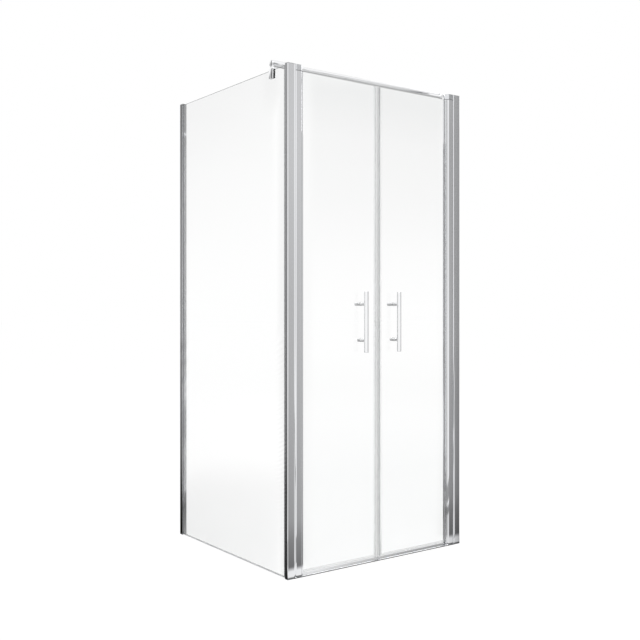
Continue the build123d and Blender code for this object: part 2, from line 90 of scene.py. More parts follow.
camera_data = bpy.data.cameras.new("camera")
camera_data.lens = CAMERA_LENS
camera_data.sensor_width = 36.0
camera_data.shift_x, camera_data.shift_y = CAMERA_SHIFT
camera_data.clip_end = 200.0
camera = bpy.data.objects.new("camera", camera_data)
camera.location = EYE
camera.rotation_euler = (math.pi / 2, 0.0, -CAMERA_TURN)
bpy.context.scene.collection.objects.link(camera)
bpy.context.scene.camera = camera
bpy.context.scene.view_settings.view_transform = "Standard"
print("camera at", [round(c, 3) for c in EYE], "turned", round(math.degrees(CAMERA_TURN), 2))

# %% [markdown]
# ## Surfaces from numbers
#
# Every new piece is a grid of points worked out in one go. Two numbers, u and
# v, name a place on the surface, and a formula turns them into x, y and z. A
# closed direction joins its last row to its first, so there is no seam, and
# the ends of a turned piece shrink to one point with a fan of triangles.

# %% A grid of points made into a mesh


def grid_mesh(name, points, close_u=False, close_v=False):
    """Mesh from points[u, v]: each cell of the grid is one four-sided face."""
    rows, columns = points.shape[:2]
    index = np.arange(rows * columns).reshape(rows, columns)
    if close_u:
        index = np.vstack([index, index[:1]])
    if close_v:
        index = np.hstack([index, index[:, :1]])
    corners = np.stack(
        [index[:-1, :-1], index[1:, :-1], index[1:, 1:], index[:-1, 1:]], axis=-1
    ).reshape(-1, 4)
    mesh = bpy.data.meshes.new(name)
    mesh.vertices.add(rows * columns)
    mesh.vertices.foreach_set("co", points.reshape(-1, 3).astype(np.float32).ravel())
    mesh.loops.add(corners.size)
    mesh.loops.foreach_set("vertex_index", corners.astype(np.int32).ravel())
    mesh.polygons.add(len(corners))
    mesh.polygons.foreach_set("loop_start", np.arange(0, corners.size, 4, dtype=np.int32))
    mesh.update(calc_edges=True)
    mesh.validate()
    return mesh


def place(name, mesh):
    """An object for the mesh, standing at the origin with its place in its points."""
    piece = bpy.data.objects.new(name, mesh)
    bpy.context.scene.collection.objects.link(piece)
    return piece


print("grid helpers ready")

# %% [markdown]
# ## The white studio
#
# The picture has a pure white ground, and the metal still shows soft greys
# and dark lines. A photographer gets both with grey and black cards that
# stand outside the picture and only show in reflections. Here the cards are
# one wide bowl, a floor that runs out to a distant wall. What a flat face
# shows is known from the mirror law: the line from the mirrored eye through a
# spot on the face ends at the place on the bowl that the spot shows. So the
# bowl's tone at each place is looked up from the height and the side of the
# spot that shows it.

# %% White world and pale floor
scene = bpy.context.scene
world = bpy.data.worlds.new("studio")
scene.world = world
world.use_nodes = True
world_nodes = world.node_tree.nodes
world_links = world.node_tree.links
world_nodes.clear()

WORLD_FILL = 0.72


def seen_mask(nodes_in, links_in):
    """1 for rays that show a background: camera, glossy or transmission rays."""
    path = nodes_in.new("ShaderNodeLightPath")
    first = nodes_in.new("ShaderNodeMath")
    first.operation = "MAXIMUM"
    links_in.new(path.outputs["Is Camera Ray"], first.inputs[0])
    links_in.new(path.outputs["Is Glossy Ray"], first.inputs[1])
    second = nodes_in.new("ShaderNodeMath")
    second.operation = "MAXIMUM"
    links_in.new(first.outputs[0], second.inputs[0])
    links_in.new(path.outputs["Is Transmission Ray"], second.inputs[1])
    return second.outputs[0]


shown = world_nodes.new("ShaderNodeBackground")
shown.inputs["Color"].default_value = (1.0, 1.0, 1.0, 1.0)
shown.inputs["Strength"].default_value = 1.0
fill = world_nodes.new("ShaderNodeBackground")
fill.inputs["Color"].default_value = (1.0, 1.0, 1.0, 1.0)
fill.inputs["Strength"].default_value = WORLD_FILL
world_mix = world_nodes.new("ShaderNodeMixShader")
world_links.new(seen_mask(world_nodes, world_links), world_mix.inputs[0])
world_links.new(fill.outputs[0], world_mix.inputs[1])
world_links.new(shown.outputs[0], world_mix.inputs[2])
world_out = world_nodes.new("ShaderNodeOutputWorld")
world_links.new(world_mix.outputs[0], world_out.inputs["Surface"])

FLOOR_HALF = 60.0
FLOOR_GLOW = 0.885
FLOOR_TONE = 0.16

floor_mesh = bpy.data.meshes.new("studio_floor")
floor_mesh.from_pydata(
    [
        (-FLOOR_HALF, -FLOOR_HALF, 0.0),
        (FLOOR_HALF, -FLOOR_HALF, 0.0),
        (FLOOR_HALF, FLOOR_HALF, 0.0),
        (-FLOOR_HALF, FLOOR_HALF, 0.0),
    ],
    [],
    [(0, 1, 2, 3)],
)
floor = place("studio_floor", floor_mesh)
floor_finish = bpy.data.materials.new("studio_floor")
floor_finish.use_nodes = True
floor_nodes = floor_finish.node_tree.nodes
floor_links = floor_finish.node_tree.links
floor_nodes.clear()
floor_matt = floor_nodes.new("ShaderNodeBsdfDiffuse")
floor_matt.inputs["Color"].default_value = (FLOOR_TONE, FLOOR_TONE, FLOOR_TONE, 1.0)
floor_glow = floor_nodes.new("ShaderNodeEmission")
floor_glow.inputs["Color"].default_value = (1.0, 1.0, 1.0, 1.0)
floor_strength = floor_nodes.new("ShaderNodeMath")
floor_strength.operation = "MULTIPLY"
floor_strength.inputs[1].default_value = FLOOR_GLOW
floor_links.new(seen_mask(floor_nodes, floor_links), floor_strength.inputs[0])
floor_links.new(floor_strength.outputs[0], floor_glow.inputs["Strength"])
floor_sum = floor_nodes.new("ShaderNodeAddShader")
floor_links.new(floor_matt.outputs[0], floor_sum.inputs[0])
floor_links.new(floor_glow.outputs[0], floor_sum.inputs[1])
floor_out = floor_nodes.new("ShaderNodeOutputMaterial")
floor_links.new(floor_sum.outputs[0], floor_out.inputs["Surface"])
floor.data.materials.append(floor_finish)
print("floor", 2 * FLOOR_HALF, "m wide")

# %% [markdown]
# ## The shape of the reflection bowl
#
# The bowl is a flat floor and an upright wall round the shower. Its foot is as
# wide and deep as the shower itself.

# %% The shape of the reflection bowl
BOWL_REACH = 30.0
BOWL_TOP = 30.0
BOWL_LIFT = 0.0003
foot_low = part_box("threshold_rail")[0]
side_low, side_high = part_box("side_wall_profile")
FOOT_CENTRE = np.array([0.0, (foot_low[1] + side_high[1]) / 2])
FOOT_HALF = np.array([cad_box[1][0], (side_high[1] - foot_low[1]) / 2])
FRONT_Y = foot_low[1]
LEFT_X = side_low[0]
# The standoffs show the floor that lies this way from the foot of the left handle.
HANDLE_FOOT = np.array([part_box("left_handle_bar")[0][0], FRONT_Y])
STANDOFF_MIRROR = np.array([-0.58, 0.81])


def bowl_points(turn, run):
    """Point at azimuth turn (0 at the front, 90 degrees on the right) and run along the bowl.

    Below 0, run is the share of the way from the middle to the edge of the foot, less 1.
    Above 0 it goes out over the floor in metres to the wall and then up it:
    distance = min(edge + run, reach), height = edge + run - reach where that is above 0.
    """
    direction = np.stack([np.sin(turn), -np.cos(turn)], axis=-1)
    edge = (FOOT_HALF / np.maximum(np.abs(direction), 1e-9)).min(axis=-1)
    path = np.where(run < 0, edge * (1 + run), edge + run)
    out = np.minimum(path, BOWL_REACH)
    height = np.maximum(path - BOWL_REACH, 0.0) + BOWL_LIFT
    flat = direction * out[..., None] + FOOT_CENTRE
    return np.concatenate([flat, height[..., None]], axis=-1)


def spot_on(points, axis, plane):
    """Where the face at plane along axis shows each point: along the face, and in height.

    The eye is mirrored in the face. The line from it to the point crosses the face at
    mirrored + share * (point - mirrored), with share = (plane - mirrored) / (point - mirrored).
    """
    mirrored = np.array(EYE)
    mirrored[axis] = 2 * plane - mirrored[axis]
    gap = points[..., axis] - mirrored[axis]
    share = (plane - mirrored[axis]) / np.where(np.abs(gap) < 1e-6, 1e-6, gap)
    spot = mirrored + share[..., None] * (points - mirrored)
    return spot[..., 1 - axis], spot[..., 2]


def window(value, low, high, soft):
    """1 between low and high, 0 outside, with an S-shaped ramp of width soft."""
    rise = np.clip((value - low) / soft + 0.5, 0.0, 1.0)
    fall = np.clip((high - value) / soft + 0.5, 0.0, 1.0)
    return (rise * rise * (3 - 2 * rise)) * (fall * fall * (3 - 2 * fall))


print("foot", FOOT_CENTRE.round(3), "half", FOOT_HALF.round(3))

# %% [markdown]
# ## The tones of the bowl
#
# A face shows one strip of the bowl, so the tone is looked up by the spot on the
# face that shows it: heights in metres, and the tone that a flat face shows
# there. Most knots of the tables by height were worked back from greys measured
# in the photograph, one value for each of about ten heights along a face, and
# then changed where a render differed.

# %% The tones of the bowl
# The lowest knots, dark up to 6 mm, are a painted contact shadow at the foot.
POST_TONES = (
    [0.0, 0.006, 0.010, 0.030, 0.046, 0.15, 0.22, 0.41, 0.68, 1.05, 1.13, 1.43, 1.62, 1.90],
    [0.16, 0.16, 1.00, 1.00, 0.19, 0.27, 0.38, 0.43, 0.47, 0.55, 0.57, 0.62, 0.65, 0.68],
)
PANE_TONES = (
    [0.0, 0.006, 0.010, 0.10, 0.47, 0.67, 0.86, 1.06, 1.25, 1.44, 1.56, 1.70, 1.94, 1.99],
    [0.16, 0.16, 0.90, 0.80, 0.80, 0.92, 1.0, 1.0, 0.78, 0.38, 0.26, 0.10, 0.08, 1.0],
)
FLANK_TONES = (
    [0.0, 0.02, 0.07, 0.20, 0.60, 1.00, 1.10, 1.62, 1.95],
    [0.02, 0.03, 0.04, 0.08, 0.09, 0.12, 0.17, 0.23, 0.36],
)
SIDE_PANE_TONES = (
    [0.0, 0.14, 0.23, 0.43, 0.64, 0.85, 1.06, 1.26, 1.60, 1.82, 1.95],
    [0.60, 0.68, 0.73, 0.89, 0.95, 1.0, 1.0, 0.95, 0.78, 0.58, 0.50],
)
REAR_TONES = ([0.0, 0.6, 1.0, 1.9], [0.008, 0.010, 0.015, 0.020])
# The front posts darken towards the wall, and so does the bar over the doors.
POST_FADE = ([-0.45, -0.40, 0.38, 0.42, 0.45], [0.98, 1.06, 0.84, 0.70, 0.46])
BAR_FADE = ([0.0, 0.30], [1.0, 0.35])
BAR_FOOT = 1.95
# Under and behind the shower the bowl's floor carries a painted shade that fades out with
# distance.
POOL_TONES = ([0.0, 0.6, 4.0], [0.14, 0.42, 1.0])

# Each card runs from, to and with a soft edge: metres across the front or along
# the flank, metres of height, or degrees round the bowl.
CARD_HEIGHTS = (-1.0, 2.05, 0.06)
LEFT_POST = (-0.52, -0.34, 0.05)
RIGHT_POST = (0.35, 0.53, 0.05)
DOORS = (-0.34, 0.35, 0.05)
REAR_LIP, REAR_LIP_HEIGHTS, REAR_LIP_TONE = (-1.05, -0.64, 0.05), (-1.0, 2.3, 0.1), 0.36
CLAMP_FRONT, CLAMP_FRONT_HEIGHTS = (-0.60, -0.49, 0.02), (1.84, 2.01, 0.03)
CLAMP_FRONT_TONE = 0.02
WALL_CARD = (-1.75, -1.14, 0.05)
POST_CARD = (-0.58, -0.375, 0.03)
SIDE_PANE_CARD = (-0.33, 0.40, 0.06)
REAR_CARD = (0.41, 1.60, 0.04)
ROD_CARD, ROD_HEIGHTS, ROD_TONE = (-1.03, -0.62, 0.10), (0.45, 3.2, 0.5), 0.06
CLAMP_SIDE, CLAMP_SIDE_HEIGHTS, CLAMP_SIDE_TONE = (-0.37, -0.25, 0.04), (1.82, 2.4, 0.1), 0.36
RIGHT_EDGE, RIGHT_EDGE_DEPTH = (60.0, 92.0, 8.0), 0.6
DRUM_CARD, DRUM_TONE = (92.0, 142.0, 12.0), 0.34
PATCH_AHEAD, PATCH_BESIDE, PATCH_DEPTH = (0.3, 2.4, 1.6), (-0.30, 0.44, 0.40), 0.55
FLOOR_SKIN = 0.01


def laid(tone, share, card_tone):
    """A card laid over a tone: tone + share * (card tone - tone)."""
    return tone + share * (card_tone - tone)


def front_tone(across, height):
    """Tone by the spot on the front that shows the point."""
    posts = window(across, *LEFT_POST) + window(across, *RIGHT_POST)
    metal = np.interp(height, *POST_TONES) * np.interp(across, *POST_FADE)
    panes = np.interp(height, *PANE_TONES)
    panes = np.where(height > BAR_FOOT, panes * np.interp(across, *BAR_FADE), panes)
    tone = 1.0 + posts * (metal - 1.0) + window(across, *DOORS) * (panes - 1.0)
    tone = laid(1.0, window(height, *CARD_HEIGHTS), tone)
    lip = window(across, *REAR_LIP) * window(height, *REAR_LIP_HEIGHTS)
    clamp_front = window(across, *CLAMP_FRONT) * window(height, *CLAMP_FRONT_HEIGHTS)
    return laid(laid(tone, lip, REAR_LIP_TONE), clamp_front, CLAMP_FRONT_TONE)


def flank_tone(along, rise):
    """Tone by the spot on the left flank that shows the point."""
    flank = np.interp(rise, *FLANK_TONES)
    tone = 1.0
    for card, card_tone in (
        (WALL_CARD, 0.35 + 0.6 * flank),
        (POST_CARD, flank),
        (SIDE_PANE_CARD, np.interp(rise, *SIDE_PANE_TONES)),
        (REAR_CARD, np.interp(rise, *REAR_TONES)),
    ):
        tone = tone + window(along, *card) * (card_tone - 1.0)
    tone = laid(1.0, window(rise, *CARD_HEIGHTS), tone)
    rods = window(along, *ROD_CARD) * window(rise, *ROD_HEIGHTS)
    clamp_side = window(along, *CLAMP_SIDE) * window(rise, *CLAMP_SIDE_HEIGHTS)
    return laid(laid(tone, rods, ROD_TONE), clamp_side, CLAMP_SIDE_TONE)


def bowl_tone(points):
    """Tone of each point: cards before and beside the shower, a pool of painted shade under and
    behind.
    """
    flat = points[..., :2]
    before = points[..., 1] < FRONT_Y
    aside = (points[..., 0] < LEFT_X) & ~before
    on_floor = points[..., 2] < FLOOR_SKIN
    turn = np.degrees(np.arctan2(points[..., 0], -points[..., 1]))
    front = front_tone(*spot_on(points, 1, FRONT_Y))
    front = front * (1.0 - RIGHT_EDGE_DEPTH * window(turn, *RIGHT_EDGE))
    pool = np.interp(np.linalg.norm(flat - FOOT_CENTRE, axis=-1), *POOL_TONES)
    rest = laid(1.0, window(turn, *DRUM_CARD), DRUM_TONE)
    rest = np.where(on_floor, np.minimum(rest, pool), rest)
    ahead = (flat - HANDLE_FOOT) @ STANDOFF_MIRROR
    beside = (flat - HANDLE_FOOT) @ np.array([STANDOFF_MIRROR[1], -STANDOFF_MIRROR[0]])
    patch = window(ahead, *PATCH_AHEAD) * window(beside, *PATCH_BESIDE) * on_floor
    side = flank_tone(*spot_on(points, 0, LEFT_X)) * (1.0 - PATCH_DEPTH * patch)
    inside = (np.abs(flat - FOOT_CENTRE) <= FOOT_HALF + 1e-6).all(axis=-1)
    tone = np.where(before, front, np.where(aside, side, rest))
    return np.clip(np.where(inside, pool, tone), 0.0, 1.0)


print("pane tones", min(PANE_TONES[1]), "to", max(PANE_TONES[1]))

# %% [markdown]
# ## The bowl as a mesh
#
# The rings lie close together at the foot, where a short face shows a narrow
# strip of floor, and spread out towards the wall.

# %% The bowl as a mesh
near_steps = np.array(
    [0.0, 0.004, 0.008, 0.012, 0.016, 0.020, 0.024, 0.028, 0.034, 0.042, 0.05, 0.065]
)
far_steps = np.geomspace(0.08, BOWL_REACH, 70)
wall_steps = BOWL_REACH + np.linspace(0.5, BOWL_TOP, 30)
turn_grid, run_grid = np.meshgrid(
    np.radians(np.linspace(-180, 180, 1081)[:-1]),
    np.concatenate([[-0.999, -0.5, -0.0001], near_steps, far_steps, wall_steps]),
    indexing="ij",
)
bowl_grid = bowl_points(turn_grid, run_grid)
bowl_mesh = grid_mesh("reflection_bowl", bowl_grid, close_u=True)
bowl_attribute = bowl_mesh.attributes.new("tone", "FLOAT", "POINT")
bowl_tones = bowl_tone(bowl_grid)
bowl_attribute.data.foreach_set("value", bowl_tones.astype(np.float32).ravel())
bowl = place("reflection_bowl", bowl_mesh)
print("bowl", bowl_grid.shape, "tones", bowl_tones.min().round(3), "to 1")

# %% [markdown]
# ## The bowl's finish
#
# It glows with its tone, but only on a path that a shiny surface has turned
# back. To the eye looking straight through a pane it is clear.

# %% The bowl's finish
bowl_finish = bpy.data.materials.new("reflection_bowl")
bowl_finish.use_nodes = True
bowl_nodes = bowl_finish.node_tree.nodes
bowl_links = bowl_finish.node_tree.links
bowl_nodes.clear()
bowl_glow = bowl_nodes.new("ShaderNodeEmission")
bowl_read = bowl_nodes.new("ShaderNodeAttribute")
bowl_read.attribute_name = "tone"
bowl_links.new(bowl_read.outputs["Fac"], bowl_glow.inputs["Strength"])
bowl_path = bowl_nodes.new("ShaderNodeLightPath")
bowl_turned = bowl_nodes.new("ShaderNodeMath")
bowl_turned.operation = "GREATER_THAN"
bowl_turned.inputs[1].default_value = 0.5
bowl_links.new(bowl_path.outputs["Glossy Depth"], bowl_turned.inputs[0])
bowl_clear = bowl_nodes.new("ShaderNodeBsdfTransparent")
bowl_mix = bowl_nodes.new("ShaderNodeMixShader")
bowl_links.new(bowl_turned.outputs[0], bowl_mix.inputs[0])
bowl_links.new(bowl_clear.outputs[0], bowl_mix.inputs[1])
bowl_links.new(bowl_glow.outputs[0], bowl_mix.inputs[2])
bowl_out = bowl_nodes.new("ShaderNodeOutputMaterial")
bowl_links.new(bowl_mix.outputs[0], bowl_out.inputs["Surface"])
bowl.data.materials.append(bowl_finish)
bowl.visible_camera = False
bowl.visible_diffuse = False
bowl.visible_shadow = False
print("bowl finish ready")

# %% [markdown]
# ## Lamps
#
# Two large soft lamps stand well away from the shower. A large lamp gives a
# soft edge to each shadow. Their power is low, so that a colour renders about
# as it is written, and the world fills the shadows.

# %% Soft lamps


def soft_lamp(name, place_at, aim, power, width):
    """A square area lamp at place_at that looks at aim."""
    data = bpy.data.lights.new(name, "AREA")
    data.energy = power
    data.size = width
    lamp = bpy.data.objects.new(name, data)
    lamp.location = place_at
    look = np.subtract(aim, place_at)
    flat = math.hypot(look[0], look[1])
    spin = math.atan2(look[1], look[0]) - math.pi / 2
    lamp.rotation_euler = (math.atan2(flat, -look[2]), 0.0, spin)
    scene.collection.objects.link(lamp)
    return lamp


soft_lamp("key_lamp", (-3.2, -4.4, 5.2), (0.0, 0.0, 1.0), 130.0, 2.6)
soft_lamp("fill_lamp", (4.6, 1.8, 4.2), (0.0, 0.0, 1.0), 60.0, 3.0)

# %% [markdown]
# ## Finishes
#
# Each finish is one Principled shader with a few nodes that read Object
# coordinates. Those stay with the part when a door swings, so a drawn line in
# the metal never slides over it. A value that is the same all over is set on
# the shader itself.

# %% Helpers for finishes


def new_finish(name, **sockets):
    """A material with one Principled shader whose plain sockets are set by name."""
    finish = bpy.data.materials.new(name)
    finish.use_nodes = True
    shader = finish.node_tree.nodes["Principled BSDF"]
    for socket, value in sockets.items():
        shader.inputs[socket.replace("_", " ")].default_value = value
    return finish, shader


def fine_noise(finish, scale, stretch=(1.0, 1.0, 1.0), detail=2.0):
    """Noise on Object coordinates. stretch above 1 makes it finer along that axis."""
    tree = finish.node_tree
    where = tree.nodes.new("ShaderNodeTexCoord")
    mapping = tree.nodes.new("ShaderNodeMapping")
    mapping.inputs["Scale"].default_value = stretch
    noise = tree.nodes.new("ShaderNodeTexNoise")
    noise.inputs["Scale"].default_value = scale
    noise.inputs["Detail"].default_value = detail
    tree.links.new(where.outputs["Object"], mapping.inputs["Vector"])
    tree.links.new(mapping.outputs["Vector"], noise.inputs["Vector"])
    return noise.outputs["Fac"]


def blend_colour(finish, factor, first, second):
    """Colour between first and second by a factor socket."""
    tree = finish.node_tree
    mix = tree.nodes.new("ShaderNodeMix")
    mix.data_type = "RGBA"
    mix.inputs["A"].default_value = (*first, 1.0)
    mix.inputs["B"].default_value = (*second, 1.0)
    tree.links.new(factor, mix.inputs["Factor"])
    return mix.outputs["Result"]


def map_range(finish, value, low, high, to_low, to_high):
    """value from low..high to to_low..to_high, clamped."""
    tree = finish.node_tree
    span = tree.nodes.new("ShaderNodeMapRange")
    span.inputs["From Min"].default_value = low
    span.inputs["From Max"].default_value = high
    span.inputs["To Min"].default_value = to_low
    span.inputs["To Max"].default_value = to_high
    tree.links.new(value, span.inputs["Value"])
    return span.outputs["Result"]


def add_bump(finish, shader, height, distance, strength=1.0):
    """Bump of a real depth in metres from a height socket."""
    tree = finish.node_tree
    bump = tree.nodes.new("ShaderNodeBump")
    bump.inputs["Strength"].default_value = strength
    bump.inputs["Distance"].default_value = distance
    tree.links.new(height, bump.inputs["Height"])
    tree.links.new(bump.outputs["Normal"], shader.inputs["Normal"])


print("finish helpers ready")

# %% [markdown]
# ### Bright aluminium
#
# The profiles are drawn through a die and anodised. Drawing leaves very fine
# lines along the length, so the noise is stretched five hundred times along
# the height, or along the width on the rail. It changes the roughness a little
# and lifts a bump of a few thousandths of a millimetre.

# %% Aluminium finishes
# Colour of the painted contact shade along the foot of the rail.
FOOT_SHADE_COLOUR = (0.20, 0.20, 0.21, 1.0)


def aluminium(name, tone, roughness, stretch=(1.0, 1.0, 0.002), foot=0.0):
    """Drawn metal. Below the height foot it is painted dark: a painted contact shade along the
    foot.
    """
    finish, shader = new_finish(name, Metallic=1.0)
    lines = fine_noise(finish, 900.0, stretch, 3.0)
    clouds = fine_noise(finish, 2.2, (1.0, 1.0, 0.5), 2.0)
    tree = finish.node_tree
    light = tuple(min(c * 1.03, 1.0) for c in tone)
    dark = tuple(c * 0.97 for c in tone)
    colour = blend_colour(finish, map_range(finish, clouds, 0.35, 0.65, 0.0, 1.0), dark, light)
    # Below the height foot the colour fades into a painted shade.
    if foot:
        where = tree.nodes.new("ShaderNodeTexCoord")
        split = tree.nodes.new("ShaderNodeSeparateXYZ")
        tree.links.new(where.outputs["Object"], split.inputs[0])
        foot_shade_mix = tree.nodes.new("ShaderNodeMix")
        foot_shade_mix.data_type = "RGBA"
        shade_share = map_range(finish, split.outputs["Z"], foot * 0.85, foot, 1.0, 0.0)
        tree.links.new(shade_share, foot_shade_mix.inputs["Factor"])
        tree.links.new(colour, foot_shade_mix.inputs["A"])
        foot_shade_mix.inputs["B"].default_value = FOOT_SHADE_COLOUR
        colour = foot_shade_mix.outputs["Result"]
    tree.links.new(colour, shader.inputs["Base Color"])
    tree.links.new(
        map_range(finish, lines, 0.3, 0.7, roughness * 0.85, roughness * 1.2),
        shader.inputs["Roughness"],
    )
    add_bump(finish, shader, lines, 0.000004, 0.5)
    return finish


profile_finish = aluminium("bright_profile", (0.825, 0.830, 0.848), 0.055)
# The rail's finish has a painted contact shade below 3.8 mm.
rail_finish = aluminium("rail_metal", (0.88, 0.885, 0.895), 0.16, (0.002, 1.0, 1.0), 0.0038)
pivot_finish = aluminium("pivot_metal", (0.74, 0.75, 0.77), 0.10)
print("aluminium finishes ready")

# %% [markdown]
# ### Chrome and steel
#
# Chrome plating is smooth and bright. A faint cloudiness in its roughness
# stands for the film that wiping leaves on it. The small screws are plain
# steel with a slightly rougher face.

# %% Chrome and steel


def polished(name, tone, roughness, cloud_scale):
    """Bright metal whose roughness is a little cloudy."""
    finish, shader = new_finish(name, Metallic=1.0)
    clouds = fine_noise(finish, cloud_scale, detail=3.0)
    tree = finish.node_tree
    tree.links.new(
        map_range(finish, clouds, 0.35, 0.7, roughness * 0.6, roughness * 1.6),
        shader.inputs["Roughness"],
    )
    tree.links.new(
        blend_colour(finish, clouds, tuple(c * 0.985 for c in tone), tone),
        shader.inputs["Base Color"],
    )
    return finish


chrome_finish = polished("polished_chrome", (0.93, 0.935, 0.945), 0.045, 40.0)
screw_finish = polished("steel_screw", (0.70, 0.71, 0.73), 0.22, 300.0)
print("chrome and steel ready")

# %% [markdown]
# ### Clear glass
#
# Safety glass six millimetres thick is clear through its faces and grey-green
# through its cut edges. The shader is plain glass. The edges get a deeper
# tint, picked out by the direction that the surface faces: where the normal
# lies across the pane it is a face, and everything else is an edge. The pane
# throws no shadow, as lamps pass through it.

# %% Glass
CLEAR_FACE = (0.996, 0.998, 0.997)
CUT_EDGE = (0.30, 0.36, 0.35, 1.0)


def pane_glass(name, across, end_shade_colour, foot_shade_heights, head_shade_heights):
    """Glass for a pane whose faces look along the axis across (0 for X, 1 for Y).

    A painted shade darkens it near the foot and the head, where light falls off
    towards the pane's ends: each is a pair of heights between which it fades in or out.
    """
    finish, shader = new_finish(name, Roughness=0.0, IOR=1.5)
    shader.inputs["Transmission Weight"].default_value = 1.0
    tree = finish.node_tree
    where = tree.nodes.new("ShaderNodeTexCoord")
    split = tree.nodes.new("ShaderNodeSeparateXYZ")
    tree.links.new(where.outputs["Normal"], split.inputs[0])
    size = tree.nodes.new("ShaderNodeMath")
    size.operation = "ABSOLUTE"
    tree.links.new(split.outputs[across], size.inputs[0])
    edge = map_range(finish, size.outputs[0], 0.80, 0.98, 1.0, 0.0)
    place_split = tree.nodes.new("ShaderNodeSeparateXYZ")
    tree.links.new(where.outputs["Object"], place_split.inputs[0])
    height = place_split.outputs["Z"]
    # Painted shade towards the foot and the head of the pane.
    end_shade = tree.nodes.new("ShaderNodeMath")
    end_shade.operation = "MAXIMUM"
    tree.links.new(map_range(finish, height, *foot_shade_heights, 1.0, 0.0), end_shade.inputs[0])
    tree.links.new(map_range(finish, height, *head_shade_heights, 0.0, 1.0), end_shade.inputs[1])
    face = blend_colour(finish, end_shade.outputs[0], CLEAR_FACE, end_shade_colour)
    mix = tree.nodes.new("ShaderNodeMix")
    mix.data_type = "RGBA"
    tree.links.new(edge, mix.inputs["Factor"])
    tree.links.new(face, mix.inputs["A"])
    mix.inputs["B"].default_value = CUT_EDGE
    tree.links.new(mix.outputs["Result"], shader.inputs["Base Color"])
    return finish


# Both panes carry a painted shade that darkens them towards their foot and head.
side_glass_finish = pane_glass(
    "clear_glass_side", 0, (0.985, 0.990, 0.988), foot_shade_heights=(0.05, 0.30), head_shade_heights=(1.95, 2.2)
)
door_glass_finish = pane_glass(
    "clear_glass_door", 1, (0.944, 0.951, 0.949), foot_shade_heights=(0.35, 0.85), head_shade_heights=(1.70, 1.88)
)
print("glass ready")

# %% [markdown]
# ### Soft profiles, liners and small plastics
#
# The strips where the doors meet are clear soft plastic with a pale magnet
# strip inside. Alpha lets most of the light straight through them. Liners are
# grey and the clamp's pads are black rubber. Caps are moulded to match the
# metal.

# %% Seals, liners and plastics


def soft_plastic(name, tone, roughness, grain, depth, **sockets):
    """Moulded plastic or rubber with a fine speck in colour, roughness and bump."""
    finish, shader = new_finish(name, **sockets)
    speck = fine_noise(finish, grain, detail=3.0)
    tree = finish.node_tree
    shade = tuple(c * 0.95 for c in tone)
    tree.links.new(blend_colour(finish, speck, shade, tone), shader.inputs["Base Color"])
    tree.links.new(
        map_range(finish, speck, 0.3, 0.7, roughness * 0.85, roughness * 1.15),
        shader.inputs["Roughness"],
    )
    add_bump(finish, shader, speck, depth, 0.4)
    return finish


seal_finish = soft_plastic(
    "clear_seal", (0.78, 0.79, 0.81), 0.12, 900.0, 0.000001, IOR=1.46, Alpha=0.10
)
liner_finish = soft_plastic("grey_liner", (0.80, 0.81, 0.82), 0.4, 500.0, 0.00002)
side_liner_finish = soft_plastic("side_liner", (0.36, 0.37, 0.38), 0.4, 500.0, 0.00002)
cap_finish = soft_plastic("cap_plastic", (0.50, 0.505, 0.52), 0.32, 900.0, 0.00001)
bush_finish = soft_plastic("bush_plastic", (0.30, 0.30, 0.31), 0.45, 700.0, 0.00001)
magnet_finish = soft_plastic(
    "white_magnet", (0.94, 0.94, 0.94), 0.4, 400.0, 0.00001, Alpha=0.16
)
pad_finish = soft_plastic("rubber_pad", (0.05, 0.05, 0.055), 0.6, 600.0, 0.00002)
print("soft finishes ready")

# %% [markdown]
# ## Give each node its finish
#
# Every node gets the finish that belongs to its material slot in the record.
# The side pane and its two upright liners have finishes of their own, and the
# glass and the clear seals throw no shadow.

# %% Give each node its finish
FINISHES = {
    "bright_profile": profile_finish,
    "polished_chrome": chrome_finish,
    "pivot_metal": pivot_finish,
    "clear_glass": door_glass_finish,
    "clear_seal": seal_finish,
    "grey_liner": liner_finish,
    "cap_plastic": cap_finish,
    "bush_plastic": bush_finish,
    "white_magnet": magnet_finish,
    "rubber_pad": pad_finish,
    "steel_screw": screw_finish,
}
slot_of = {part["node"]: part["material_slot"] for part in frame["record"]["subparts"]}
for node_name, node in nodes.items():
    finish = FINISHES[slot_of[node_name]]
    if node_name == "side_glass":
        finish = side_glass_finish
    if node_name in ("side_front_liner", "side_back_liner"):
        finish = side_liner_finish
    for number in range(len(node.material_slots)):
        node.material_slots[number].material = finish
    if slot_of[node_name] in ("clear_glass", "clear_seal"):
        node.visible_shadow = False
print("finishes on", len(nodes), "nodes")

# %% [markdown]
# ## Rounded fittings
#
# The solids have plain bores and small plain edges. The real fittings are
# turned and polished, so their edges are round and catch a line of light.
# Each one is made again as a surface, exactly where its solid stands: the
# solid's box gives the middle, the radius and the length.

# %% Helpers for turned and drawn pieces
MM = 0.001
SIDES = 64
FINE_SIDES = 96
X, Y, Z = np.eye(3)


def soft_corners(corners, edges, steps=6, closed=False):
    """Round the corners of a path.

    Near a corner the path is (1-s)^2 * before + 2s(1-s) * corner + s^2 * after, where
    before and after lie the given edge length away on the two straight runs.
    """
    corners = np.asarray(corners, dtype=float)
    edges = np.broadcast_to(edges, len(corners))
    s = np.linspace(0.0, 1.0, steps + 1)[:, None]
    runs = []
    for number, (corner, edge) in enumerate(zip(corners, edges)):
        last = len(corners) - 1
        if edge == 0 or (not closed and number in (0, last)):
            runs.append(corner[None])
            continue
        back = corners[number - 1] - corner
        ahead = corners[(number + 1) % len(corners)] - corner
        before = corner + edge * back / np.linalg.norm(back)
        after = corner + edge * ahead / np.linalg.norm(ahead)
        runs.append((1 - s) ** 2 * before + 2 * s * (1 - s) * corner + s**2 * after)
    return np.vstack(runs)


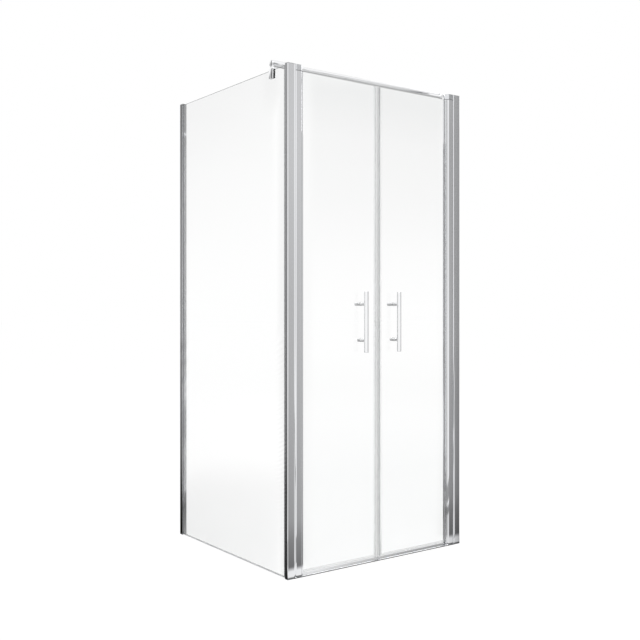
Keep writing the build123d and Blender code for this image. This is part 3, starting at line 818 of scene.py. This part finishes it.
def turned(start, direction, along, radius, sides=SIDES):
    """Turned surface: start + along * direction + radius * (cos t * across + sin t * over)."""
    heading = np.asarray(direction, dtype=float)
    helper = Z if abs(heading[2]) < 0.9 else X
    across = np.cross(helper, heading)
    over = np.cross(heading, across)
    t = -np.linspace(0.0, 2 * np.pi, sides, endpoint=False)
    ring = np.cos(t)[:, None] * across + np.sin(t)[:, None] * over
    along = np.atleast_2d(np.asarray(along, dtype=float).T).T
    radius = np.atleast_2d(np.asarray(radius, dtype=float).T).T
    return np.asarray(start) + along[..., None] * heading + radius[..., None] * ring


def drawn(section, start, across, up, ahead, length, edge=0.0, steps=4):
    """A closed section carried straight ahead, its two ends rounded over the length edge.

    Each row is the section moved in by edge * (1 - sin t) along its own normals and
    ahead by edge * (1 - cos t), with t from 0 to a right angle.
    """
    section = np.asarray(section, dtype=float)
    run = np.roll(section, -1, axis=0) - np.roll(section, 1, axis=0)
    normal = np.stack([run[:, 1], -run[:, 0]], axis=-1)
    normal /= np.linalg.norm(normal, axis=-1)[:, None]
    t = np.linspace(0.0, np.pi / 2, steps + 1) if edge else np.array([np.pi / 2])
    inset = edge * (1 - np.sin(t))
    reach = edge * (1 - np.cos(t))
    inset = np.concatenate([inset, inset[::-1]])
    place_ahead = np.concatenate([reach, length - reach[::-1]])
    flat = section[None] - inset[:, None, None] * normal[None]
    across, up, ahead = (np.asarray(v, dtype=float) for v in (across, up, ahead))
    return (
        np.asarray(start)
        + flat[..., :1] * across
        + flat[..., 1:] * up
        + place_ahead[:, None, None] * ahead
    )


def made(name, grids, close_u=False, sharp=32.0):
    """One object from several grids: seams and poles welded, open ends filled, faces outwards."""
    work = bmesh.new()
    for grid in grids:
        part_mesh = grid_mesh("part", grid, close_u=close_u, close_v=True)
        work.from_mesh(part_mesh)
        bpy.data.meshes.remove(part_mesh)
    bmesh.ops.remove_doubles(work, verts=work.verts, dist=1e-6)
    bmesh.ops.dissolve_degenerate(work, edges=work.edges, dist=1e-7)
    rim = [edge for edge in work.edges if edge.is_boundary]
    if rim:
        bmesh.ops.holes_fill(work, edges=rim, sides=0)
    bmesh.ops.recalc_face_normals(work, faces=work.faces)
    mesh = bpy.data.meshes.new(name)
    work.to_mesh(mesh)
    open_edges = sum(not edge.is_manifold for edge in work.edges)
    work.free()
    mesh.shade_smooth()
    mesh.set_sharp_from_angle(angle=math.radians(sharp))
    print(name, len(mesh.polygons), "faces, open edges", open_edges)
    return place(name, mesh)


def fit(piece, finish, slot, body, *replaced):
    """Give a piece its finish, the body it rides on and the nodes it stands for. The slot is not
    used.
    """
    piece.data.materials.append(finish)
    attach(piece, body)
    if replaced:
        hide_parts(*replaced)
    return piece


def middle_of(node_name):
    """Lowest corner, highest corner and middle of a node's box, as arrays."""
    low, high = (np.array(corner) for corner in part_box(node_name))
    return low, high, (low + high) / 2


def plug(length, radius, near_edge, far_edge):
    """Profile of a solid round piece: (along, radius) with both rims rounded."""
    path = soft_corners(
        [(0.0, 0.0), (0.0, radius), (length, radius), (length, 0.0)], [0, near_edge, far_edge, 0]
    )
    return path[:, 0], path[:, 1]


print("piece helpers ready")

# %% [markdown]
# ### Handles
#
# Each handle is a polished bar on two round standoffs. Behind the glass the
# upper screw ends in a knob to pull the door from inside and the lower one in
# a short cap. A standoff meets the bar in a saddle, so its first ring lies on
# the bar: its distance from the bar's axis is the root of bar radius squared
# less sideways distance squared.

# %% Handle bars, standoffs, knobs, caps and washers
BAR_RIM = 1.8 * MM
STANDOFF_RIM = 0.7 * MM
INNER_RIM = 0.6 * MM
INNER_DOMES = {"_inner_knob": 2.4 * MM, "_inner_cap": 3.2 * MM}
WASHER_THICK = 1.0 * MM
WASHER_BORE = 4.1 * MM
SEAT_DEPTH = 0.0002
for side in ("left", "right"):
    body = side + "_door"
    low, high, mid = middle_of(side + "_handle_bar")
    bar_radius = (high[0] - low[0]) / 2
    bar_axis = np.array([mid[0], mid[1], low[2]])
    along, radius = plug(high[2] - low[2], bar_radius, BAR_RIM, BAR_RIM)
    bar_grid = turned(bar_axis, Z, along, radius, FINE_SIDES)
    handle_bar = made(side + "_handle_bar_polished", [bar_grid])
    fit(handle_bar, chrome_finish, "polished_chrome", body, side + "_handle_bar")

    for where in ("upper", "lower"):
        node_name = side + "_handle_standoff_" + where
        low, high, mid = middle_of(node_name)
        stand_radius = (high[2] - low[2]) / 2
        start = np.array([mid[0], bar_axis[1], mid[2]])
        length = high[1] - bar_axis[1]
        path = soft_corners(
            [(0.0, stand_radius), (length, stand_radius), (length, 0.0)], [0, STANDOFF_RIM, 0]
        )
        t = -np.linspace(0.0, 2 * np.pi, SIDES, endpoint=False)
        saddle = np.sqrt(bar_radius**2 - (stand_radius * np.cos(t)) ** 2) - SEAT_DEPTH
        along = np.repeat(path[:, :1], SIDES, axis=1)
        along[0] = saddle
        along = np.vstack([np.full((1, SIDES), bar_radius * 0.3), along])
        radius = np.concatenate([[0.0], path[:, 1]])[:, None] * np.ones((1, SIDES))
        standoff = made(node_name + "_polished", [turned(start, Y, along, radius)])
        fit(standoff, chrome_finish, "polished_chrome", body, node_name)

    for ending, dome in INNER_DOMES.items():
        node_name = side + ending
        low, high, mid = middle_of(node_name)
        along, radius = plug(high[1] - low[1], (high[2] - low[2]) / 2, INNER_RIM, dome)
        inner = made(
            node_name + "_polished", [turned((mid[0], low[1], mid[2]), Y, along, radius)]
        )
        fit(inner, chrome_finish, "polished_chrome", body, node_name)

    low, high, mid = middle_of(side + "_handle_washers")
    outer = (high[0] - low[0]) / 2
    path = soft_corners(
        [(0.0, WASHER_BORE), (0.0, outer), (WASHER_THICK, outer), (WASHER_THICK, WASHER_BORE)],
        0.3 * MM,
        3,
        closed=True,
    )
    rings = [
        turned((mid[0], y, middle_of(side + "_handle_standoff_" + where)[2][2]), Y, *path.T, 48)
        for where in ("lower", "upper")
        for y in (low[1], high[1] - WASHER_THICK)
    ]
    washers = made(side + "_washer_rings", rings, close_u=True)
    fit(washers, seal_finish, "rubber_pad", body, side + "_handle_washers")
    washers.visible_shadow = False

# %% [markdown]
# ### Stabiliser
#
# A round bar ties the front to the side pane, so the glass can't sway. It
# ends in a cup on the wall and in a sleeve that a glass clamp carries. The
# clamp is a U of solid metal over the pane's edge with a short neck up to the
# sleeve.

# %% Bar, sleeve and wall cup
low, high, bar_mid = middle_of("stabiliser_bar")
bar_radius = (high[2] - low[2]) / 2
along, radius = plug(high[0] - low[0], bar_radius, 0.5 * MM, 0.5 * MM)
bar_grid = turned((low[0], bar_mid[1], bar_mid[2]), X, along, radius, FINE_SIDES)
stabiliser = made("stabiliser_bar_polished", [bar_grid])
fit(stabiliser, chrome_finish, "polished_chrome", "frame", "stabiliser_bar")

bar_start = low[0]
low, high, mid = middle_of("stabiliser_sleeve")
sleeve_radius = (high[2] - low[2]) / 2
reach = high[0] - low[0]
floor_at = bar_start - low[0]
bore = bar_radius + 0.05 * MM
path = soft_corners(
    [
        (0, 0), (0, sleeve_radius), (reach, sleeve_radius), (reach, bore),
        (floor_at, bore), (floor_at, 0),
    ],
    [0, 2.6 * MM, 1.6 * MM, 0.3 * MM, 0, 0],
)
sleeve_grid = turned((low[0], mid[1], mid[2]), X, *path.T, FINE_SIDES)
sleeve = made("stabiliser_sleeve_polished", [sleeve_grid])
fit(sleeve, chrome_finish, "polished_chrome", "frame", "stabiliser_sleeve")

low, high, mid = middle_of("stabiliser_flange")
cup_radius = (high[2] - low[2]) / 2
reach = high[0] - low[0]
pocket = reach - 3 * MM
path = soft_corners(
    [
        (pocket, 0), (pocket, bore), (0, bore), (0, cup_radius),
        (reach, cup_radius), (reach, 0),
    ],
    [0, 0, 0.3 * MM, 1.6 * MM, 0.3 * MM, 0],
)
cup_grid = turned((low[0], mid[1], mid[2]), X, *path.T, FINE_SIDES)
cup = made("stabiliser_wall_cup", [cup_grid])
fit(cup, chrome_finish, "polished_chrome", "frame", "stabiliser_flange")

# %% [markdown]
# ## Glass clamp
#
# The clamp sits on the side pane with a slot for it, and its neck meets the
# sleeve in a saddle.

# %% Glass clamp
low, high, mid = middle_of("stabiliser_clamp")
slot_low, slot_high = (np.array(corner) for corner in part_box("clamp_pads"))
crown = slot_high[2] + 7.5 * MM
throat = slot_high[2] + 1.0 * MM
neck_start = crown - 2 * MM
neck_radius = 8.0 * MM
section = soft_corners(
    [
        (low[0], low[2]), (low[0], crown), (high[0], crown), (high[0], low[2]),
        (slot_high[0], low[2]), (slot_high[0], throat),
        (slot_low[0], throat), (slot_low[0], low[2]),
    ],
    [1.4 * MM, 3.5 * MM, 3.5 * MM, 1.4 * MM, 0.5 * MM, 0.5 * MM, 0.5 * MM, 0.5 * MM],
    closed=True,
)
jaws = drawn(section[::-1], (0, low[1], 0), X, Z, Y, high[1] - low[1], 1.3 * MM)
t = -np.linspace(0.0, 2 * np.pi, SIDES, endpoint=False)
across = np.cross(X, Z)
over = np.cross(Z, across)
sideways = neck_radius * (np.cos(t) * across[1] + np.sin(t) * over[1])
saddle = (bar_mid[2] - np.sqrt(sleeve_radius**2 - sideways**2)) - neck_start + 0.0001
neck_along = np.vstack([np.zeros((2, SIDES)), saddle, np.full((1, SIDES), saddle.max())])
neck_width = np.array([0.0, neck_radius, neck_radius, 0.0])[:, None] * np.ones((1, SIDES))
neck = turned((mid[0], mid[1], neck_start), Z, neck_along, neck_width)
clamp = made("stabiliser_clamp_polished", [jaws, neck])
fit(clamp, chrome_finish, "polished_chrome", "frame", "stabiliser_clamp")

# %% [markdown]
# ### Threshold rail
#
# The rail is a flat extrusion that keeps the water in. It stands on two feet
# with a shallow hollow between them, and its top edges are bevelled. Its
# finish has a painted shade along its foot, where it meets the floor, so the
# eye sees one thin dark line under a bright band.

# %% Threshold rail
low, high, mid = middle_of("threshold_rail")
deep, tall_rail = high[1] - low[1], high[2] - low[2]
foot_wide, hollow = 6 * MM, 1.5 * MM
bevel_in, bevel_at = 3 * MM, tall_rail - 1 * MM
section = soft_corners(
    [
        (0, 0), (foot_wide, 0), (foot_wide, hollow), (deep - foot_wide, hollow),
        (deep - foot_wide, 0), (deep, 0), (deep, bevel_at), (deep - bevel_in, tall_rail),
        (bevel_in, tall_rail), (0, bevel_at),
    ],
    np.array([0.2, 0.2, 0.4, 0.4, 0.2, 0.2, 0.3, 0.8, 0.8, 0.3]) * MM,
    3,
    closed=True,
)
rail = made("threshold_rail_drawn", [drawn(section, low, Y, Z, X, high[0] - low[0])])
fit(rail, rail_finish, "bright_profile", "frame", "threshold_rail")

# %% [markdown]
# ### Soft seals
#
# Where the doors meet, each has a soft clear strip. It grips the glass with
# two thin legs and ends in a rounded box that holds the magnet. A wiper under
# each door does the same with a curved lip that leans on the rail.

# %% Meeting seals and wipers
LEG_THICK = 1.2 * MM
LEG_TALL = 10 * MM
LIP_LEAN = 2.6 * MM
LIP_THICK = 1.2 * MM
LIP_ROOT = 1.8 * MM
BOX_LONG = 8 * MM
NECK_AT = 9.6 * MM
STRIP_ROUNDS = np.array([2.2, 0.8, 0.8, 0.7, 0.4, 0, 0, 0.4, 0.7, 0.8, 0.8, 2.2]) * MM
WIPER_ROUNDS = (
    np.array([0.7, 0.3, 1.2, 0.3, 0.3, 1.2, 0.3, 0.7, 0.5, 0.5, 0.3, 0.3, 0.5, 0.5]) * MM
)
for side in ("left", "right"):
    body = side + "_door"
    low, high, mid = middle_of(side + "_meeting_seal")
    glass_low, glass_high, glass_mid = middle_of(side + "_door_glass")
    away = -1.0 if side == "left" else 1.0
    tip = high[0] if side == "left" else low[0]
    back = high[1] - mid[1]
    face = (glass_high[1] - glass_low[1]) / 2
    wall = face + LEG_THICK
    glass_end = abs((glass_high[0] if side == "left" else glass_low[0]) - tip)
    leg_end = high[0] - low[0]
    section = soft_corners(
        [
            (0, -back), (BOX_LONG, -back), (NECK_AT, -wall), (leg_end, -wall), (leg_end, -face),
            (glass_end, -face), (glass_end, face), (leg_end, face), (leg_end, wall),
            (NECK_AT, wall), (BOX_LONG, back), (0, back),
        ],
        STRIP_ROUNDS,
        closed=True,
    )
    if side == "right":
        section = section[::-1]
    strip = made(
        side + "_meeting_strip",
        [drawn(section, (tip, mid[1], low[2]), (away, 0, 0), Y, Z, high[2] - low[2])],
    )
    fit(strip, seal_finish, "clear_seal", body, side + "_meeting_seal")
    strip.visible_shadow = False

    low, high, mid = middle_of(side + "_bottom_seal")
    centre_y = glass_mid[1]
    floor_z = glass_low[2] - LEG_THICK
    bend = LIP_LEAN * 0.25
    drop = floor_z - low[2]
    section = soft_corners(
        [
            (-wall, 0), (0, 0), (bend, -drop * 0.5), (LIP_LEAN, -drop),
            (LIP_LEAN + LIP_THICK, -drop), (bend + LIP_ROOT, -drop * 0.5), (LIP_ROOT, 0),
            (wall, 0), (wall, LEG_TALL), (face, LEG_TALL), (face, LEG_THICK),
            (-face, LEG_THICK), (-face, LEG_TALL), (-wall, LEG_TALL),
        ],
        WIPER_ROUNDS,
        4,
        closed=True,
    )
    wiper = made(
        side + "_wiper",
        [drawn(section, (low[0], centre_y, floor_z), Y, Z, X, high[0] - low[0])],
    )
    fit(wiper, seal_finish, "clear_seal", body, side + "_bottom_seal")
    wiper.visible_shadow = False

# %% [markdown]
# ### Side pane
#
# The cut edges of a safety pane are ground to a narrow flat at 45 degrees.
# That arris is what shows as a fine dark line along the top of the pane.

# %% Side pane with ground edges
low, high, mid = middle_of("side_glass")
arris = 1.1 * MM
pane_corners = [(low[1], low[2]), (high[1], low[2]), (high[1], high[2]), (low[1], high[2])]
outline_path = soft_corners(pane_corners, 2.0 * MM, 4, closed=True)
pane_grid = drawn(outline_path, (low[0], 0, 0), Y, Z, X, high[0] - low[0], arris, steps=1)
side_pane = made("side_pane_ground", [pane_grid], sharp=20.0)
fit(side_pane, side_glass_finish, "clear_glass", "frame", "side_glass")
side_pane.visible_shadow = False

# %% [markdown]
# ### Jamb screws
#
# The screws that hold the jambs are driven from inside the shower. Each has a
# domed head with a six-lobed recess: inside the recess the radius swells by
# an eighth six times round.

# %% Jamb screws
HEAD_TALL = 2.5 * MM
SHANK_RADIUS = 2.0 * MM
SCREW_SIDES = 48
RECESS_FROM = 9
for side in ("left", "right"):
    low, high, mid = middle_of(side + "_jamb_screws")
    head_radius = (high[0] - low[0]) / 2
    head_base = high[1] - HEAD_TALL
    shank = head_base - low[1]
    path = np.array(
        [
            (-shank, 0.0), (-shank, 1.6 * MM), (-shank + 0.4 * MM, SHANK_RADIUS),
            (0.0, SHANK_RADIUS), (0.0, head_radius), (0.6 * MM, head_radius),
            (1.2 * MM, head_radius * 0.96), (1.8 * MM, head_radius * 0.84),
            (2.3 * MM, head_radius * 0.66), (HEAD_TALL, head_radius * 0.50),
            (2.3 * MM, head_radius * 0.46), (1.0 * MM, head_radius * 0.44), (1.0 * MM, 0.0),
        ]
    )
    t = -np.linspace(0.0, 2 * np.pi, SCREW_SIDES, endpoint=False)
    swell = np.where(np.arange(len(path)) >= RECESS_FROM, 0.12, 0.0)
    lobes = 1.0 + swell[:, None] * np.cos(6 * t)[None]
    along = np.repeat(path[:, :1], SCREW_SIDES, axis=1)
    heads = [
        turned((mid[0], head_base, z), Y, along, path[:, 1:] * lobes, SCREW_SIDES)
        for z in (low[2] + head_radius, mid[2], high[2] - head_radius)
    ]
    screws = made(side + "_jamb_screw_heads", heads)
    fit(screws, screw_finish, "steel_screw", "frame", side + "_jamb_screws")
